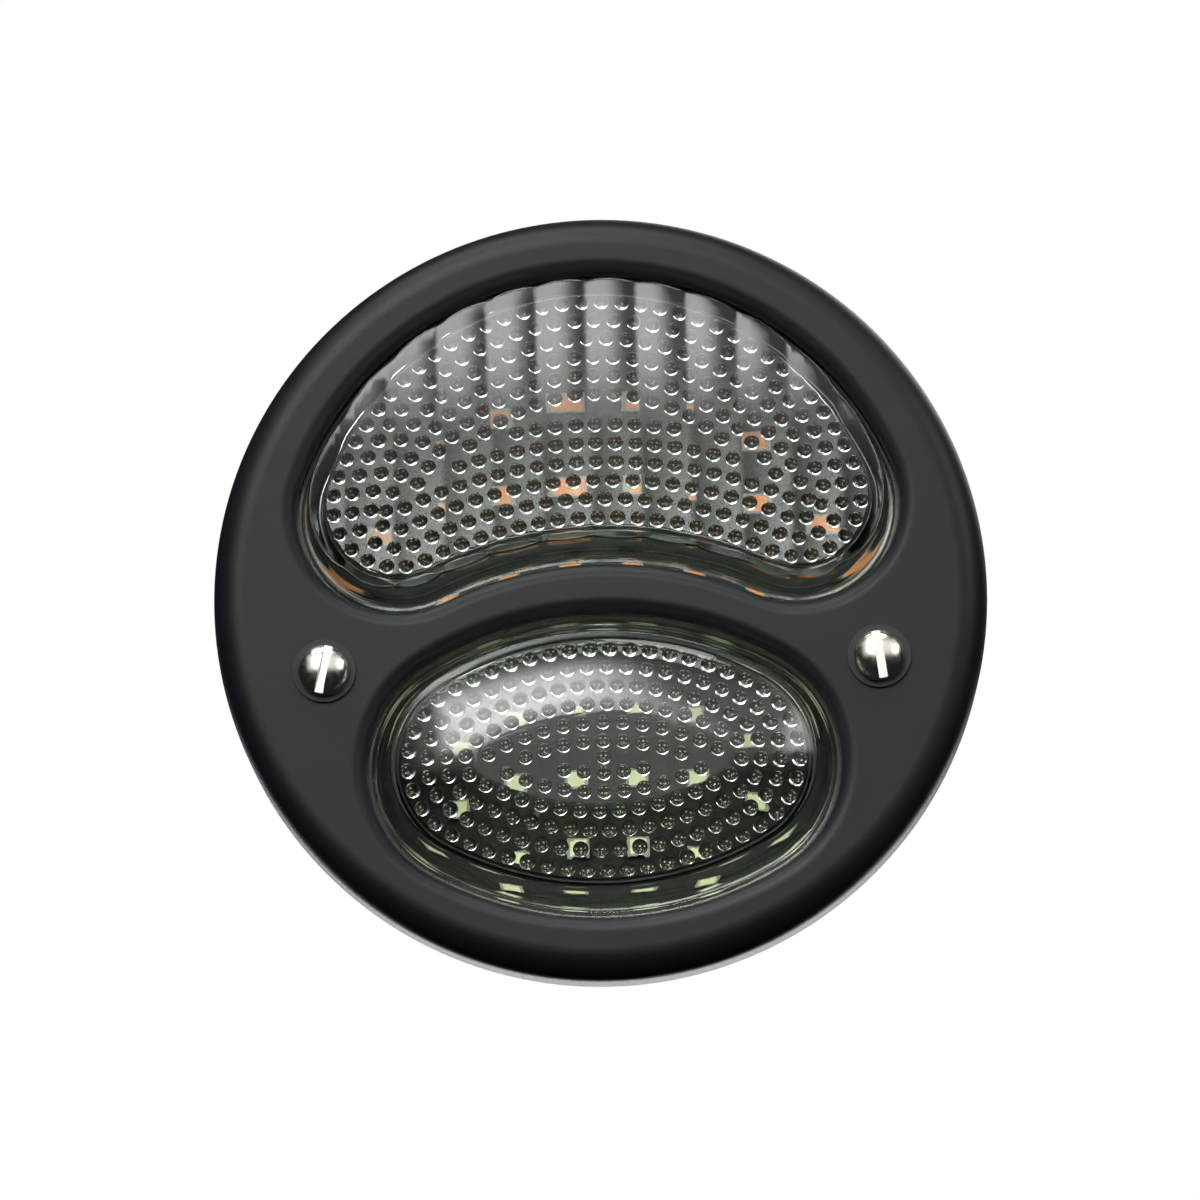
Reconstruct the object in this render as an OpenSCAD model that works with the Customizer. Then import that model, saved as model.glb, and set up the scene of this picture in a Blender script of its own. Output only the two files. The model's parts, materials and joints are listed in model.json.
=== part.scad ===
// Round two-lens LED lamp for a vehicle: a stamped bezel with a kidney-shaped upper lens and an oval lower
// lens, screwed to a drawn steel bowl that holds the LED board. Millimetres. +Z is up and the lamp faces -Y.
// The origin is the centre of the two mounting studs on the back face of the bowl. Inside the modules, local
// Z is the height above that back face, towards the front, and axial() turns it to -Y.

/* [Bezel] */
// Outside diameter of the bezel
bezel_d = 118; // [117:1:150]
// Thickness of the bezel's sheet
bezel_sheet = 1.2; // [0.8:0.1:1.5]
// Outside radius of the rounded corner between face and skirt
bezel_corner_r = 4.5; // [3:0.5:6]
// Depth of the skirt behind the face
skirt_depth = 11; // [9:0.5:14]
// Radius of the roll round each lens opening
lip_r = 2.2; // [1.5:0.1:2.6]
// Depth of the lip behind the face
lip_depth = 3; // [2.7:0.1:3.2]

/* [Upper opening] */
// Radius of the crown arc
crown_r = 48.3; // [47:0.1:49]
// Height of the crown arc's centre above the lamp's axis
crown_z = 1.5; // [0.5:0.1:2]
// Radius of the round lobe at each end
lobe_r = 15.6; // [14:0.1:16.5]
// Distance of each lobe's centre from the middle
lobe_x = 30.4; // [28:0.1:31]
// Height of the notch's middle above the lamp's axis
notch_z = 4.7; // [4:0.1:8]

/* [Lower opening] */
// Width of the oval
oval_w = 72; // [60:0.5:74]
// Height of the oval
oval_h = 46.6; // [38:0.2:47]
// Radius of the oval's ends
oval_end_r = 18.7; // [15:0.1:19]
// Height of the oval's centre, below the lamp's axis
oval_z = -26.2; // [-28:0.1:-26]

/* [Lenses] */
// Gap between the lip and the lens body
lens_gap = 1.4; // [0.8:0.1:1.8]
// How far each flange reaches past its opening
flange_reach = 3.3; // [2.8:0.1:3.4]
// Thickness of the flanges
flange_t = 1.8; // [1.4:0.1:2.2]
// Thickness of the glass in the side walls
lens_wall = 2.6; // [2:0.1:3]
// Thickness of the glass at the front
lens_front = 3.6; // [3:0.1:4.5]
// Height of the upper lens's side wall above its flange
upper_wall_h = 9.6; // [7:0.1:12]
// How far the upper lens's side wall leans inwards
upper_draft = 2.6; // [1.5:0.1:3]
// Rise of the upper lens's front above its side wall
upper_dome = 1.8; // [1:0.1:3]
// Height of the lower lens's side wall above its flange
lower_wall_h = 7.6; // [6:0.1:10]
// How far the lower lens's side wall leans inwards
lower_draft = 2.8; // [1.5:0.1:3]
// Rise of the lower lens's front above its side wall
lower_dome = 3.4; // [2:0.1:5]

/* [Lens clamping] */
// Width of the lens gaskets
gasket_w = 1.6; // [1.2:0.1:1.9]
// Thickness of the retainer plate
retainer_t = 1; // [0.8:0.1:1.5]
// Depth of the retainer's turned edge
retainer_edge = 4; // [2:0.5:5]
// Radius of the retainer studs
clamp_stud_r = 1.5; // [1.2:0.1:1.6]

/* [Housing] */
// Height of the bezel's face above the back of the bowl
face_h = 50; // [46:1:70]
// Thickness of the bowl's sheet
housing_wall = 1.2; // [0.8:0.1:1.5]
// Gap between the bowl and the bezel's skirt
skirt_gap = 1; // [0.6:0.1:1.4]
// Radius of the bowl where its side meets its back
housing_back_r = 48; // [46:0.5:50]
// Corner radius at the back of the bowl
housing_corner_r = 8; // [5:0.5:10]
// Length of the straight part of the bowl's side
housing_straight = 16.3; // [14:0.1:20]
// Thickness of the rim gasket
rim_gasket_t = 2.5; // [2:0.1:3]

/* [Bezel screws] */
// Distance of each screw from the middle
screw_x = 42.1; // [41:0.1:44]
// Height of the screws, below the lamp's axis
screw_z = -11; // [-12:0.1:-10]
// Radius of the screw's shank
screw_r = 2.08; // [1.8:0.01:2.4]
// Length of the shank
screw_l = 15.9; // [14:0.1:18]
// Radius of the screw's head
screw_head_r = 3.93; // [3.5:0.01:4.3]
// Height of the screw's head
screw_head_h = 2.7; // [2.2:0.1:3.2]
// Width of the slot
slot_w = 1.3; // [1:0.1:1.6]
// Depth of the slot
slot_depth = 1.4; // [1:0.1:1.8]
// Radius of the screw washer
washer_r = 4.8; // [4.5:0.1:5.2]
// Thickness of the screw washer
washer_t = 0.6; // [0.4:0.1:1]

/* [Board] */
// Radius of the circuit board
board_r = 46; // [44:0.5:47]
// Thickness of the circuit board
board_t = 1.6; // [1:0.1:2]
// Height of the board's front face above the back of the bowl
board_h = 20; // [18:0.5:26]
// Spacing of the amber LED columns
amber_pitch = 9.9; // [8:0.1:10.2]
// Spacing of the white LED columns
white_pitch = 9.4; // [8:0.1:10]
// Length of an LED package
led_l = 3.5; // [3:0.1:3.5]
// Width of an LED package
led_w = 2.8; // [2.2:0.1:3]
// Thickness of an LED package
led_t = 0.8; // [0.6:0.1:1.2]

/* [Mounting] */
// Distance between the mounting studs
stud_spacing = 50.8; // [44:0.1:56]
// Radius of the studs' plain shank
stud_r = 3.175; // [2.5:0.005:4]
// Length of the plain shank behind the bowl
stud_grip = 11; // [8:0.5:16]
// Length of the thread past the plain shank
stud_thread = 11; // [10:0.5:14]
// Height of the cable inlet, below the lamp's axis
inlet_z = -20; // [-26:0.5:-18]
// Radius of the cable bore in the grommet
cable_r = 3; // [2.5:0.1:3.6]

/* [Hidden] */
$fn = 96;

// Gap between pieces that lie close but do not touch
fit_gap = 0.3;
// Radial clearance of a thread, which is modelled as a plain shank in a plain hole
thread_gap = 0.06;
// Overlap of a cutter past the face that it opens
cut = 0.1;
// Number of steps on a full turn of an outline's arcs
outline_steps = 72;
// Number of steps on a rolled lip and on a domed front
roll_steps = 3;
dome_steps = 5;

// Heights above the back of the bowl
sheet_back_h = face_h - bezel_sheet;
flange_top_h = face_h - lip_depth - 0.4;
flange_back_h = flange_top_h - flange_t;
retainer_back_h = flange_back_h - retainer_t;
rim_h = sheet_back_h - rim_gasket_t;

// Thickness of the lip's wall behind the sheet, which leaves room for the lens gasket
lip_wall = flange_reach - gasket_w - 0.2;

// Radii about the lamp's axis
bezel_r = bezel_d / 2;
housing_r = bezel_r - bezel_sheet - skirt_gap;
rim_inner_r = housing_r - 2.8;
retainer_r = rim_inner_r - 0.6;

// Rest of the kidney outline, found from its tangent arcs
lobe_z = crown_z + sqrt(pow(crown_r - lobe_r, 2) - pow(lobe_x, 2));
crown_half = atan2(lobe_x, lobe_z - crown_z);
notch_cz = (pow(lobe_r + notch_z, 2) - pow(lobe_x, 2) - pow(lobe_z, 2)) / (2 * (lobe_r + notch_z - lobe_z));
notch_r = notch_z - notch_cz;
notch_from = atan2(lobe_z - notch_cz, lobe_x);

// Rest of the oval outline
oval_end_x = oval_w / 2 - oval_end_r;
oval_side_r = (pow(oval_end_x, 2) + pow(oval_h / 2, 2) - pow(oval_end_r, 2)) / (oval_h - 2 * oval_end_r);
oval_side_half = atan2(oval_end_x, oval_side_r - oval_h / 2);

// Retainer studs: two beside the lobes and two beside the oval, and the height of their free ends
clamp_places = [
    [lobe_x + lobe_r + 2.5, lobe_z - lobe_r + 1],
    [oval_w / 2 + 6, oval_z + 1]
];
clamp_nut_t = 2.4;
clamp_nut_r = 3.1;
clamp_washer_t = 0.5;
clamp_stud_end_h = retainer_back_h - clamp_washer_t - clamp_nut_t - 0.8;

// Screw brackets
screw_head_seat_h = face_h + washer_t;
screw_end_h = screw_head_seat_h - screw_l;
bracket_t = 1.4;
bracket_outer_r = housing_r - housing_wall - 0.02;
bracket_half = 6;
bracket_tab_h = rim_h - 8.3;
bracket_boss_r = 3.6;
bracket_boss_t = 2.6;
bracket_leg = 7;
rivet_r = 1.2;
rivet_head_t = 0.8;
rivet_turn = 3.6;
rivet_h = bracket_tab_h - bracket_leg + 2.4;

// Board
standoff_places = [[-36.5, -3], [0, 4], [36.5, -3]];
standoff_r = 2.8;
board_screw_r = 1.45;
board_screw_l = 6;
board_back_h = board_h - board_t;
// LED rows: height of the row's middle, radius of its arc, number of LEDs
amber_rows = [[35.5, 50, 6], [23.3, 95, 8], [10.2, 80, 8]];
white_rows = [[-12.6, 90, 4], [-24.2, 300, 4], [-35.4, 60, 4]];
white_side_places = [for (z = [-18.5, -29]) for (side = [-1, 1]) [side * 2.5 * white_pitch, z]];
// Components on the back of the board: place, length, width, height
chip_places = [[-20, 6], [20, 6]];
chip_size = [6.5, 6, 2.2];
diode_places = [for (x = [-7, 7]) [x, -2]];
diode_size = [4.4, 2.6, 2.2];
capacitor_places = [[-14, 22], [14, 22]];
capacitor_r = 4;
capacitor_h = 8;
connector_size = [12.5, 6, 8];
connector_place = [0, -14];
resistor_size = [3.2, 1.6, 0.6];
resistor_places = [for (x = [-24, -12, 0, 12, 24]) [x, 31 - abs(x) / 4]];

// Mounting
stud_head_r = 7;
stud_head_t = 2;
thread_r = stud_r - 0.15;
// The stud's neck, thicker than its plain shank, which stands in the hole in the back wall
stud_neck_r = stud_r + 0.25;
mount_washer_t = 1.2;
mount_lock_t = 1.6;
mount_nut_t = 5.4;
mount_nut_r = 6.3;
stack_h = stud_grip + 0.2;
inlet_recess_r = 8.6;
inlet_recess_t = 2;
inlet_r = 5;
grommet_flange_r = 7.8;
grommet_flange_t = 1.6;

// Stands a shape on the back face of the bowl, its local Z towards the front
module axial() rotate([90, 0, 0]) children();

// Copies a shape to both sides
module both_sides() {
    children();
    mirror([1, 0, 0]) children();
}

// Places a shape at each of a list of points
module at_each(places, height = 0) for (p = places) translate([p[0], p[1], height]) children();

// Points of an arc, its last point left out
function arc(centre, r, from, to) =
    let (n = max(2, ceil(abs(to - from) / 360 * outline_steps)))
    [for (i = [0:n - 1]) centre + r * [cos(from + (to - from) * i / n), sin(from + (to - from) * i / n)]];

// Kidney outline, grown outwards by d
kidney = function(d) concat(
    arc([lobe_x, lobe_z], lobe_r + d, notch_from - 180, 90 - crown_half),
    arc([0, crown_z], crown_r + d, 90 - crown_half, 90 + crown_half),
    arc([-lobe_x, lobe_z], lobe_r + d, 90 + crown_half, 360 - notch_from),
    arc([0, notch_cz], notch_r - d, 180 - notch_from, notch_from));

// Oval outline, grown outwards by d
oval = function(d) concat(
    arc([oval_end_x, oval_z], oval_end_r + d, oval_side_half - 90, 90 - oval_side_half),
    arc([0, oval_z + oval_h / 2 - oval_side_r], oval_side_r + d, 90 - oval_side_half, 90 + oval_side_half),
    arc([-oval_end_x, oval_z], oval_end_r + d, 90 + oval_side_half, 270 - oval_side_half),
    arc([0, oval_z - oval_h / 2 + oval_side_r], oval_side_r + d, 270 - oval_side_half, 270 + oval_side_half));

// Flat plate or ring between two growths of an outline
module plate(outline, d, low, high) translate([0, 0, low]) linear_extrude(high - low) polygon(outline(d));
module ring(outline, inner, outer, low, high) difference() {
    plate(outline, outer, low, high);
    plate(outline, inner, low - cut, high + cut);
}

// Solid through rings of an outline: each step gives the growth and the height of one ring
module loft(outline, steps) {
    n = len(outline(0));
    m = len(steps);
    polyhedron(
        points = [for (s = steps) for (p = outline(s[0])) [p[0], p[1], s[1]]],
        faces = concat(
            [[for (i = [0:n - 1]) i]],
            [for (k = [0:m - 2]) for (i = [0:n - 1])
                [k * n + i, (k + 1) * n + i, (k + 1) * n + (i + 1) % n, k * n + (i + 1) % n]],
            [[for (i = [n - 1:-1:0]) (m - 1) * n + i]]));
}

// Cutter for an opening, which flares over the rolled lip
module opening_cutter(outline) loft(outline, concat(
    [[0, face_h - lip_depth - cut]],
    [for (i = [0:roll_steps]) let (a = 90 * i / roll_steps)
        [lip_r * (1 - cos(a)), face_h - lip_r * (1 - sin(a))]],
    [[lip_r, face_h + cut]]));

// Section of the bezel's stamping: face, rounded corner and skirt
module bezel_section(r, top, corner) difference() {
    union() {
        square([r - corner, top]);
        square([r, top - corner]);
        translate([r - corner, top - corner]) circle(corner);
    }
    translate([-corner, 0]) square([corner, top]);
}

// Lens: a cup of glass with a flange, a leaning wall and a domed front
module lens(outline, wall_h, draft, dome, dome_reach) {
    base = -lens_gap;
    edge_h = flange_top_h + wall_h;
    front_h = edge_h + dome - lens_front;
    dome_rings = [for (i = [0:dome_steps]) let (u = i / dome_steps)
        [base - draft - dome_reach * u, edge_h + dome * (1 - pow(1 - u, 2))]];
    loft(outline, concat(
        [[base - draft - lens_wall - dome_reach * 0.6, front_h],
         [base - draft - lens_wall, front_h - dome * 0.6],
         [base - lens_wall, flange_back_h],
         [flange_reach, flange_back_h],
         [flange_reach, flange_top_h],
         [base + 0.6, flange_top_h],
         [base, flange_top_h + 0.6]],
        dome_rings));
}

module bezel() color([0.13, 0.13, 0.14]) axial() difference() {
    union() {
        rotate_extrude() difference() {
            bezel_section(bezel_r, face_h, bezel_corner_r);
            bezel_section(bezel_r - bezel_sheet, sheet_back_h, bezel_corner_r - bezel_sheet);
            translate([0, -cut]) square([bezel_r + cut, face_h - skirt_depth + cut]);
        }
        plate(kidney, lip_wall, face_h - lip_depth, sheet_back_h + cut);
        plate(oval, lip_wall, face_h - lip_depth, sheet_back_h + cut);
    }
    opening_cutter(kidney);
    opening_cutter(oval);
    both_sides() translate([screw_x, screw_z, sheet_back_h - cut]) cylinder(r = screw_r + fit_gap, h = bezel_sheet + 2 * cut);
}

module upper_lens() color([0.72, 0.8, 0.7]) axial() lens(kidney, upper_wall_h, upper_draft, upper_dome, 5);
module lower_lens() color([0.72, 0.8, 0.7]) axial() lens(oval, lower_wall_h, lower_draft, lower_dome, 11);

module lens_gasket(outline) color([0.05, 0.05, 0.05]) axial()
    ring(outline, flange_reach - gasket_w, flange_reach, flange_top_h, sheet_back_h);
module upper_lens_gasket() lens_gasket(kidney);
module lower_lens_gasket() lens_gasket(oval);

module lens_retainer() color([0.55, 0.56, 0.58]) axial() difference() {
    union() {
        translate([0, 0, retainer_back_h]) cylinder(r = retainer_r, h = retainer_t);
        translate([0, 0, retainer_back_h - retainer_edge]) difference() {
            cylinder(r = retainer_r, h = retainer_edge + cut);
            translate([0, 0, -cut]) cylinder(r = retainer_r - retainer_t, h = retainer_edge + 3 * cut);
        }
    }
    plate(kidney, 0.6, retainer_back_h - cut, flange_back_h + cut);
    plate(oval, 0.6, retainer_back_h - cut, flange_back_h + cut);
    both_sides() at_each(clamp_places, retainer_back_h - cut) cylinder(r = clamp_stud_r + 0.2, h = retainer_t + 2 * cut);
    both_sides() translate([screw_x, screw_z, retainer_back_h - cut]) cylinder(r = screw_r + 1.2, h = retainer_t + 2 * cut);
}

module retainer_studs() color([0.62, 0.6, 0.55]) axial() both_sides()
    at_each(clamp_places, clamp_stud_end_h) cylinder(r = clamp_stud_r, h = sheet_back_h - clamp_stud_end_h);

module retainer_washers() color([0.66, 0.66, 0.66]) axial() both_sides()
    at_each(clamp_places, retainer_back_h - clamp_washer_t) difference() {
        cylinder(r = clamp_nut_r + 0.1, h = clamp_washer_t);
        translate([0, 0, -cut]) cylinder(r = clamp_stud_r + 0.1, h = clamp_washer_t + 2 * cut);
    }

module hex_nut(r, bore, h) difference() {
    cylinder(r = r, h = h, $fn = 6);
    translate([0, 0, -cut]) cylinder(r = bore, h = h + 2 * cut);
}
module retainer_nuts() color([0.66, 0.66, 0.66]) axial() both_sides()
    at_each(clamp_places, retainer_back_h - clamp_washer_t - clamp_nut_t)
        hex_nut(clamp_nut_r, clamp_stud_r + thread_gap, clamp_nut_t);

// Slotted screw with a round head, its slot turned by lean
module bezel_screw(lean) color([0.8, 0.77, 0.72]) axial() translate([screw_x * (lean > 0 ? -1 : 1), screw_z, 0]) {
    dome_r = (pow(screw_head_r, 2) + pow(screw_head_h, 2)) / (2 * screw_head_h);
    translate([0, 0, screw_end_h]) cylinder(r = screw_r, h = screw_l + cut);
    difference() {
        intersection() {
            translate([0, 0, screw_head_seat_h]) cylinder(r = screw_head_r, h = screw_head_h);
            translate([0, 0, screw_head_seat_h + screw_head_h - dome_r]) sphere(dome_r);
        }
        translate([0, 0, screw_head_seat_h + screw_head_h]) rotate(90 - lean)
            cube([3 * screw_head_r, slot_w, 2 * slot_depth], center = true);
    }
}
module left_bezel_screw() bezel_screw(13);
module right_bezel_screw() bezel_screw(-8);

module screw_washer(side) color([0.1, 0.1, 0.1]) axial() translate([side * screw_x, screw_z, face_h]) difference() {
    cylinder(r = washer_r, h = washer_t);
    translate([0, 0, -cut]) cylinder(r = screw_r + 0.1, h = washer_t + 2 * cut);
}
module left_screw_washer() screw_washer(-1);
module right_screw_washer() screw_washer(1);

// Outside of the bowl, or its inside when shrunk by the wall: a straight side, a cone and a corner that the
// cone meets at a tangent
module bowl_section(shrink) {
    corner_r = housing_corner_r - shrink;
    corner = [housing_back_r - housing_corner_r, housing_corner_r];
    side = [housing_r - shrink, rim_h - housing_straight];
    reach = side - corner;
    turn = atan2(reach[1], reach[0]) - acos(corner_r / norm(reach));
    top = rim_h + (shrink > 0 ? cut : 0);
    polygon(concat([[0, shrink]], arc(corner, corner_r, -90, turn), [corner + corner_r * [cos(turn), sin(turn)],
        side, [side[0], top], [0, top]]));
}

module housing() color([0.09, 0.09, 0.1]) axial() difference() {
    union() {
        rotate_extrude() difference() {
            bowl_section(0);
            bowl_section(housing_wall);
        }
        translate([0, 0, rim_h - housing_wall]) difference() {
            cylinder(r = housing_r - housing_wall / 2, h = housing_wall);
            translate([0, 0, -cut]) cylinder(r = rim_inner_r, h = housing_wall + 2 * cut);
        }
        translate([0, inlet_z, 0]) cylinder(r = inlet_recess_r + housing_wall, h = inlet_recess_t + housing_wall);
    }
    translate([0, inlet_z, -cut]) cylinder(r = inlet_recess_r, h = inlet_recess_t + cut);
    translate([0, inlet_z, 0]) cylinder(r = inlet_r, h = inlet_recess_t + housing_wall + cut);
    both_sides() translate([stud_spacing / 2, 0, -cut]) cylinder(r = stud_neck_r + 0.1, h = housing_wall + 2 * cut);
    both_sides() rivet_places(housing_r - housing_wall - 2) cylinder(r = rivet_r + 0.05, h = housing_wall + 4);
}

// Foam ring on the bowl's rim, its top rounded to lie in the bezel's corner
module housing_gasket() color([0.04, 0.04, 0.04]) axial() rotate_extrude() intersection() {
    bezel_section(bezel_r - bezel_sheet - fit_gap, sheet_back_h, bezel_corner_r - bezel_sheet + 2 * fit_gap);
    translate([rim_inner_r, rim_h]) square([housing_r - rim_inner_r, rim_gasket_t]);
}

// Each rivet's axis, pointing outwards from the given distance off the lamp's axis
module rivet_places(from_r) for (side = [-1, 1])
    rotate(asin(screw_z / housing_r) + side * rivet_turn) translate([from_r, 0, rivet_h]) rotate([0, 90, 0]) children();

// Bracket with a curved leg on the bowl's wall and a tapped tab for the bezel screw
module screw_bracket() axial() difference() {
    union() {
        intersection() {
            difference() {
                cylinder(r = bracket_outer_r, h = bracket_tab_h);
                translate([0, 0, -cut]) cylinder(r = bracket_outer_r - bracket_t, h = bracket_tab_h + 2 * cut);
            }
            translate([screw_x, screw_z - bracket_half, bracket_tab_h - bracket_leg])
                cube([housing_r, 2 * bracket_half, bracket_leg]);
        }
        translate([0, 0, bracket_tab_h - bracket_t]) intersection() {
            cylinder(r = bracket_outer_r, h = bracket_t);
            translate([screw_x, screw_z, 0]) union() {
                cylinder(r = bracket_half, h = bracket_t);
                translate([0, -bracket_half, 0]) cube([housing_r, 2 * bracket_half, bracket_t]);
            }
        }
        translate([screw_x, screw_z, bracket_tab_h - bracket_t - bracket_boss_t])
            cylinder(r = bracket_boss_r, h = bracket_boss_t + cut);
    }
    translate([screw_x, screw_z, bracket_tab_h - bracket_t - bracket_boss_t - cut])
        cylinder(r = screw_r + thread_gap, h = bracket_t + bracket_boss_t + 2 * cut);
    rivet_places(housing_r - housing_wall - 4) cylinder(r = rivet_r + 0.05, h = 6);
}
module right_screw_bracket() color([0.7, 0.68, 0.6]) screw_bracket();
module left_screw_bracket() color([0.7, 0.68, 0.6]) mirror([1, 0, 0]) screw_bracket();

module bracket_rivets() color([0.6, 0.6, 0.6]) axial() both_sides()
    rivet_places(housing_r - housing_wall - bracket_t - rivet_head_t - 2 * thread_gap) {
        cylinder(r = 2 * rivet_r, h = rivet_head_t);
        cylinder(r = rivet_r, h = rivet_head_t + bracket_t + housing_wall);
    }

module circuit_board() color([0.2, 0.22, 0.22]) axial() difference() {
    translate([0, 0, board_back_h]) cylinder(r = board_r, h = board_t);
    at_each(standoff_places, board_back_h - cut) cylinder(r = board_screw_r + 0.2, h = board_t + 2 * cut);
}

// Middle of each LED in a row that follows an arc
function row_places(row, pitch) = [for (i = [0:row[2] - 1])
    let (x = (i - (row[2] - 1) / 2) * pitch) [x, row[0] - row[1] + sqrt(pow(row[1], 2) - pow(x, 2))]];
amber_places = [for (row = amber_rows) each row_places(row, amber_pitch)];
white_places = [for (row = white_rows) each row_places(row, white_pitch), each white_side_places];

// LED package: a moulded body with a shallow cup, and the phosphor that fills the cup
led_cup = [led_l * 0.74, led_w * 0.8, led_t * 0.5];
module led_body() difference() {
    translate([-led_l / 2, -led_w / 2, 0]) cube([led_l, led_w, led_t]);
    translate([-led_cup[0] / 2, -led_cup[1] / 2, led_t - led_cup[2]]) cube([led_cup[0], led_cup[1], led_cup[2] + cut]);
}
module led_fill() translate([-led_cup[0] / 2, -led_cup[1] / 2, led_t - led_cup[2]]) cube(led_cup);

module amber_led_packages() color([0.85, 0.85, 0.8]) axial() at_each(amber_places, board_h) led_body();
module amber_led_phosphor() color([0.93, 0.5, 0.1]) axial() at_each(amber_places, board_h) led_fill();
module white_led_packages() color([0.85, 0.85, 0.8]) axial() at_each(white_places, board_h) led_body();
module white_led_phosphor() color([0.86, 0.88, 0.45]) axial() at_each(white_places, board_h) led_fill();

// Box that stands on the board's front or hangs from its back
module on_front(size) translate([-size[0] / 2, -size[1] / 2, board_h]) cube(size);
module on_back(size) translate([-size[0] / 2, -size[1] / 2, board_back_h - size[2]]) cube(size);

module led_resistors() color([0.08, 0.08, 0.09]) axial() at_each(resistor_places) on_back(resistor_size);
module driver_chips() color([0.07, 0.07, 0.07]) axial() at_each(chip_places) on_back(chip_size);
module rectifier_diodes() color([0.1, 0.1, 0.1]) axial() at_each(diode_places) on_back(diode_size);
module smoothing_capacitors() color([0.75, 0.75, 0.78]) axial()
    at_each(capacitor_places, board_back_h - capacitor_h) cylinder(r = capacitor_r, h = capacitor_h);
module wire_connector() color([0.9, 0.88, 0.8]) axial() translate([connector_place[0], connector_place[1], 0])
    difference() {
        on_back(connector_size);
        translate([0, 0, -1.2]) on_back(connector_size - [2, 2, 0]);
    }

module board_standoffs() color([0.75, 0.65, 0.4]) axial() at_each(standoff_places, housing_wall) difference() {
    cylinder(r = standoff_r, h = board_back_h - housing_wall);
    translate([0, 0, board_back_h - housing_wall - board_screw_l]) cylinder(r = board_screw_r + thread_gap, h = board_screw_l + cut);
}

module board_screws() color([0.78, 0.78, 0.78]) axial() at_each(standoff_places, board_h) {
    translate([0, 0, -board_screw_l]) cylinder(r = board_screw_r, h = board_screw_l + cut);
    difference() {
        cylinder(r = 2.7, h = 1.8);
        for (a = [0, 90]) rotate(a) translate([0, 0, 1.8]) cube([3, 0.7, 1.8], center = true);
    }
}

module mounting_studs() color([0.72, 0.7, 0.66]) axial() both_sides() translate([stud_spacing / 2, 0, 0]) {
    translate([0, 0, housing_wall]) cylinder(r = stud_head_r, h = stud_head_t);
    cylinder(r = stud_neck_r, h = housing_wall + cut);
    translate([0, 0, -stud_grip]) cylinder(r = stud_r, h = stud_grip + cut);
    translate([0, 0, -stud_grip - stud_thread]) cylinder(r = thread_r, h = stud_thread + cut);
}

// Ring round each mounting stud, h thick, its front face at the given depth behind the bowl
module mount_ring(r, depth, h) axial() both_sides() translate([stud_spacing / 2, 0, -depth - h]) difference() {
    cylinder(r = r, h = h);
    translate([0, 0, -cut]) cylinder(r = stud_r + 0.2, h = h + 2 * cut);
}
module mounting_washers() color([0.75, 0.75, 0.75]) mount_ring(7.9, stack_h, mount_washer_t);
module mounting_lock_washers() color([0.6, 0.6, 0.6]) difference() {
    mount_ring(5.6, stack_h + mount_washer_t, mount_lock_t);
    axial() both_sides() translate([stud_spacing / 2, 3, -stack_h - mount_washer_t - mount_lock_t - cut])
        translate([-0.4, 0, 0]) cube([0.8, 4, mount_lock_t + 2 * cut]);
}
module mounting_nuts() color([0.75, 0.75, 0.75]) axial() both_sides()
    translate([stud_spacing / 2, 0, -stack_h - mount_washer_t - mount_lock_t - mount_nut_t])
        hex_nut(mount_nut_r, thread_r + thread_gap, mount_nut_t);

module cable_grommet() color([0.05, 0.05, 0.05]) axial() translate([0, inlet_z, 0]) difference() {
    wall_top = inlet_recess_t + housing_wall;
    union() {
        translate([0, 0, inlet_recess_t - grommet_flange_t]) cylinder(r = grommet_flange_r, h = grommet_flange_t);
        translate([0, 0, inlet_recess_t - cut]) cylinder(r = inlet_r - 0.02, h = housing_wall + 2 * cut);
        translate([0, 0, wall_top]) cylinder(r = grommet_flange_r - 0.6, h = grommet_flange_t);
    }
    translate([0, 0, -cut]) cylinder(r = cable_r, h = wall_top + grommet_flange_t + 2 * cut);
}

bezel();
upper_lens();
lower_lens();
upper_lens_gasket();
lower_lens_gasket();
lens_retainer();
retainer_studs();
retainer_washers();
retainer_nuts();
left_screw_washer();
left_bezel_screw();
right_screw_washer();
right_bezel_screw();
housing();
housing_gasket();
left_screw_bracket();
right_screw_bracket();
bracket_rivets();
circuit_board();
amber_led_packages();
amber_led_phosphor();
white_led_packages();
white_led_phosphor();
led_resistors();
driver_chips();
smoothing_capacitors();
rectifier_diodes();
wire_connector();
board_standoffs();
board_screws();
mounting_studs();
mounting_washers();
mounting_lock_washers();
mounting_nuts();
cable_grommet();
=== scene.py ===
"""Round two-lens vehicle lamp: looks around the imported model.

The lamp faces -Y with +Z up. Heights are millimetres in front of the bowl's back face, so y = -height.
"""

import json
import math

import bmesh
import bpy
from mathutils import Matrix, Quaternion, Vector

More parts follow.
